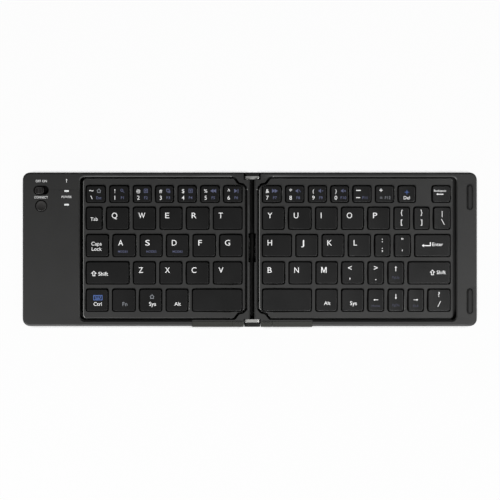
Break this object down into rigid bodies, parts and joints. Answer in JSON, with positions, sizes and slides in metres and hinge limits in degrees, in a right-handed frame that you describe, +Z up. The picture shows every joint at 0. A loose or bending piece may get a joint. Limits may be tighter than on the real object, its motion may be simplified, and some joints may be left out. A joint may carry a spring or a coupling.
{
  "type": "folding keyboard",
  "caption": "Pocket keyboard in two hinged halves that fold flat together, with scissor keys, a side panel with a power slide and connect button, and rubber feet.",
  "frame": {"origin": "centre of the bounding box in plan, at the bottom of the feet, with the keyboard open and flat", "axes": "+X to the right along the rows of keys, +Y from the space bars to the number row, +Z up through the key tops"},
  "size_m": [0.2962, 0.1008, 0.0084],
  "materials": {
    "shell": "fine-textured matte black",
    "deck": "satin black",
    "key": "smooth matte black",
    "support_plate": "plain rolled",
    "dome_rubber": "smooth",
    "scissor_plastic": "moulded",
    "steel": "fine brushed",
    "hinge_cover": "ribbed dark",
    "rubber": "matte",
    "circuit_board": "solder mask",
    "battery_foil": "foil pouch",
    "light_window": "clear white",
    "knob_plastic": "matte black"
  },
  "bodies": {
    "left_half": {"left_base": "shell", "left_frame": "shell", "left_deck": "deck", "left_support_plate": "support_plate", "left_dome_sheet": "dome_rubber", "left_scissor_frames": "scissor_plastic", "left_hinge_brackets": "steel", "left_hinge_covers": "hinge_cover", "left_screws": "steel", "left_feet": "rubber", "main_board": "circuit_board", "battery": "battery_foil", "indicator_lights": "light_window"},
    "right_half": {"right_base": "shell", "right_frame": "shell", "right_deck": "deck", "right_support_plate": "support_plate", "right_dome_sheet": "dome_rubber", "right_scissor_frames": "scissor_plastic", "right_hinge_brackets": "steel", "right_hinge_covers": "hinge_cover", "right_screws": "steel", "right_pads": "rubber"},
    "hinge": {"hinge_links": "steel", "hinge_end_caps": "hinge_cover", "hinge_spine": "hinge_cover"},
    "power_knob": {"power_knob": "knob_plastic"},
    "connect_button": {"connect_button": "knob_plastic"},
    "left_space_key": {"left_space_key": "key"},
    "left_number_keys": {"left_number_keys": "key"},
    "left_edge_keys": {"left_edge_keys": "key"},
    "right_space_key": {"right_space_key": "key"},
    "right_number_keys": {"right_number_keys": "key"},
    "right_edge_keys": {"right_edge_keys": "key"},
    "key_q": {"key_q": "key"},
    "key_w": {"key_w": "key"},
    "key_e": {"key_e": "key"},
    "key_r": {"key_r": "key"},
    "key_t": {"key_t": "key"},
    "key_a": {"key_a": "key"},
    "key_s": {"key_s": "key"},
    "key_d": {"key_d": "key"},
    "key_f": {"key_f": "key"},
    "key_g": {"key_g": "key"},
    "key_z": {"key_z": "key"},
    "key_x": {"key_x": "key"},
    "key_c": {"key_c": "key"},
    "key_v": {"key_v": "key"},
    "key_y": {"key_y": "key"},
    "key_u": {"key_u": "key"},
    "key_i": {"key_i": "key"},
    "key_o": {"key_o": "key"},
    "key_p": {"key_p": "key"},
    "key_h": {"key_h": "key"},
    "key_j": {"key_j": "key"},
    "key_k": {"key_k": "key"},
    "key_l": {"key_l": "key"},
    "key_b": {"key_b": "key"},
    "key_n": {"key_n": "key"},
    "key_m": {"key_m": "key"}
  },
  "joints": [
    {"name": "fold_right", "type": "hinge", "parent": "hinge", "child": "right_half", "pos_m": [0.00504, 0, 0.0046], "axis": [0, -1, 0], "range_deg": [0, 90]},
    {"name": "fold_left", "type": "hinge", "parent": "left_half", "child": "hinge", "pos_m": [-0.00197, 0, 0.0046], "axis": [0, -1, 0], "range_deg": [0, 90]},
    {"name": "power_slide", "type": "slide", "parent": "left_half", "child": "power_knob", "axis": [1, 0, 0], "range_m": [0, 0.0026]},
    {"name": "connect_press", "type": "slide", "parent": "left_half", "child": "connect_button", "axis": [0, 0, 1], "range_m": [-0.0004, 0], "stiffness_N_per_m": 800},
    {"name": "press_left_space", "type": "slide", "parent": "left_half", "child": "left_space_key", "axis": [0, 0, 1], "range_m": [-0.0018, 0], "stiffness_N_per_m": 300},
    {"name": "press_left_number", "type": "slide", "parent": "left_half", "child": "left_number_keys", "axis": [0, 0, 1], "range_m": [-0.0018, 0], "stiffness_N_per_m": 300},
    {"name": "press_left_edge", "type": "slide", "parent": "left_half", "child": "left_edge_keys", "axis": [0, 0, 1], "range_m": [-0.0018, 0], "stiffness_N_per_m": 300},
    {"name": "press_right_space", "type": "slide", "parent": "right_half", "child": "right_space_key", "axis": [0, 0, 1], "range_m": [-0.0018, 0], "stiffness_N_per_m": 300},
    {"name": "press_right_number", "type": "slide", "parent": "right_half", "child": "right_number_keys", "axis": [0, 0, 1], "range_m": [-0.0018, 0], "stiffness_N_per_m": 300},
    {"name": "press_right_edge", "type": "slide", "parent": "right_half", "child": "right_edge_keys", "axis": [0, 0, 1], "range_m": [-0.0018, 0], "stiffness_N_per_m": 300},
    {"name": "press_q", "type": "slide", "parent": "left_half", "child": "key_q", "axis": [0, 0, 1], "range_m": [-0.0018, 0], "stiffness_N_per_m": 300},
    {"name": "press_w", "type": "slide", "parent": "left_half", "child": "key_w", "axis": [0, 0, 1], "range_m": [-0.0018, 0], "stiffness_N_per_m": 300},
    {"name": "press_e", "type": "slide", "parent": "left_half", "child": "key_e", "axis": [0, 0, 1], "range_m": [-0.0018, 0], "stiffness_N_per_m": 300},
    {"name": "press_r", "type": "slide", "parent": "left_half", "child": "key_r", "axis": [0, 0, 1], "range_m": [-0.0018, 0], "stiffness_N_per_m": 300},
    {"name": "press_t", "type": "slide", "parent": "left_half", "child": "key_t", "axis": [0, 0, 1], "range_m": [-0.0018, 0], "stiffness_N_per_m": 300},
    {"name": "press_a", "type": "slide", "parent": "left_half", "child": "key_a", "axis": [0, 0, 1], "range_m": [-0.0018, 0], "stiffness_N_per_m": 300},
    {"name": "press_s", "type": "slide", "parent": "left_half", "child": "key_s", "axis": [0, 0, 1], "range_m": [-0.0018, 0], "stiffness_N_per_m": 300},
    {"name": "press_d", "type": "slide", "parent": "left_half", "child": "key_d", "axis": [0, 0, 1], "range_m": [-0.0018, 0], "stiffness_N_per_m": 300},
    {"name": "press_f", "type": "slide", "parent": "left_half", "child": "key_f", "axis": [0, 0, 1], "range_m": [-0.0018, 0], "stiffness_N_per_m": 300},
    {"name": "press_g", "type": "slide", "parent": "left_half", "child": "key_g", "axis": [0, 0, 1], "range_m": [-0.0018, 0], "stiffness_N_per_m": 300},
    {"name": "press_z", "type": "slide", "parent": "left_half", "child": "key_z", "axis": [0, 0, 1], "range_m": [-0.0018, 0], "stiffness_N_per_m": 300},
    {"name": "press_x", "type": "slide", "parent": "left_half", "child": "key_x", "axis": [0, 0, 1], "range_m": [-0.0018, 0], "stiffness_N_per_m": 300},
    {"name": "press_c", "type": "slide", "parent": "left_half", "child": "key_c", "axis": [0, 0, 1], "range_m": [-0.0018, 0], "stiffness_N_per_m": 300},
    {"name": "press_v", "type": "slide", "parent": "left_half", "child": "key_v", "axis": [0, 0, 1], "range_m": [-0.0018, 0], "stiffness_N_per_m": 300},
    {"name": "press_y", "type": "slide", "parent": "right_half", "child": "key_y", "axis": [0, 0, 1], "range_m": [-0.0018, 0], "stiffness_N_per_m": 300},
    {"name": "press_u", "type": "slide", "parent": "right_half", "child": "key_u", "axis": [0, 0, 1], "range_m": [-0.0018, 0], "stiffness_N_per_m": 300},
    {"name": "press_i", "type": "slide", "parent": "right_half", "child": "key_i", "axis": [0, 0, 1], "range_m": [-0.0018, 0], "stiffness_N_per_m": 300},
    {"name": "press_o", "type": "slide", "parent": "right_half", "child": "key_o", "axis": [0, 0, 1], "range_m": [-0.0018, 0], "stiffness_N_per_m": 300},
    {"name": "press_p", "type": "slide", "parent": "right_half", "child": "key_p", "axis": [0, 0, 1], "range_m": [-0.0018, 0], "stiffness_N_per_m": 300},
    {"name": "press_h", "type": "slide", "parent": "right_half", "child": "key_h", "axis": [0, 0, 1], "range_m": [-0.0018, 0], "stiffness_N_per_m": 300},
    {"name": "press_j", "type": "slide", "parent": "right_half", "child": "key_j", "axis": [0, 0, 1], "range_m": [-0.0018, 0], "stiffness_N_per_m": 300},
    {"name": "press_k", "type": "slide", "parent": "right_half", "child": "key_k", "axis": [0, 0, 1], "range_m": [-0.0018, 0], "stiffness_N_per_m": 300},
    {"name": "press_l", "type": "slide", "parent": "right_half", "child": "key_l", "axis": [0, 0, 1], "range_m": [-0.0018, 0], "stiffness_N_per_m": 300},
    {"name": "press_b", "type": "slide", "parent": "right_half", "child": "key_b", "axis": [0, 0, 1], "range_m": [-0.0018, 0], "stiffness_N_per_m": 300},
    {"name": "press_n", "type": "slide", "parent": "right_half", "child": "key_n", "axis": [0, 0, 1], "range_m": [-0.0018, 0], "stiffness_N_per_m": 300},
    {"name": "press_m", "type": "slide", "parent": "right_half", "child": "key_m", "axis": [0, 0, 1], "range_m": [-0.0018, 0], "stiffness_N_per_m": 300}
  ],
  "couplings": [
    {"joint": "fold_left", "follows": "fold_right", "ratio": 1}
  ]
}
